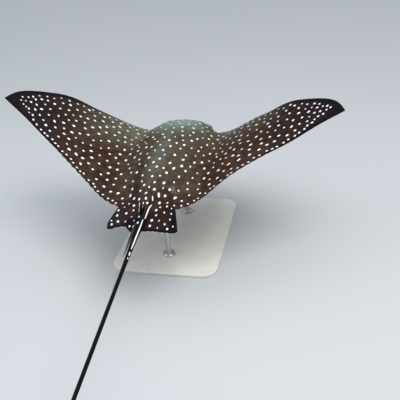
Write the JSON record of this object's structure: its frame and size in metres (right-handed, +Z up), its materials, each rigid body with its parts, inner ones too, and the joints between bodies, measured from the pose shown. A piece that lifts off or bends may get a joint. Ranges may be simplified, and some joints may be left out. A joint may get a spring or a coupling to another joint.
{
  "type": "spotted eagle ray display model",
  "caption": "Life-size spotted eagle ray gliding with raised pointed wings, white-spotted dark back and a long whip tail, held on a low display stand.",
  "frame": {"origin": "centre of the underside of the stand's base", "axes": "+Y is the way the ray heads, +X its right wing, +Z up; the tail runs back along -Y"},
  "size_m": [1.3664, 4.5835, 0.6608],
  "materials": {
    "skin": "smooth wet-looking skin, dark brown above with crisp white spots, white below",
    "eye": "clear glossy eye, dark brown iris round a black pupil",
    "spine": "dark horn-like spine",
    "stand_plate": "off-white satin powder coat",
    "stand_steel": "brushed stainless steel"
  },
  "bodies": {
    "root": {"snout": "skin", "head": "skin", "trunk": "skin", "wing_right": "skin", "wing_left": "skin", "pelvic_fin_right": "skin", "pelvic_fin_left": "skin", "dorsal_fin": "skin", "tail_1": "skin", "tail_2": "skin", "tail_3": "skin", "tail_4": "skin", "tail_5": "skin", "eye_right": "eye", "eye_left": "eye", "sting": "spine", "stand_base": "stand_plate", "stand_rod_front": "stand_steel", "stand_rod_rear": "stand_steel"}
  },
  "joints": []
}
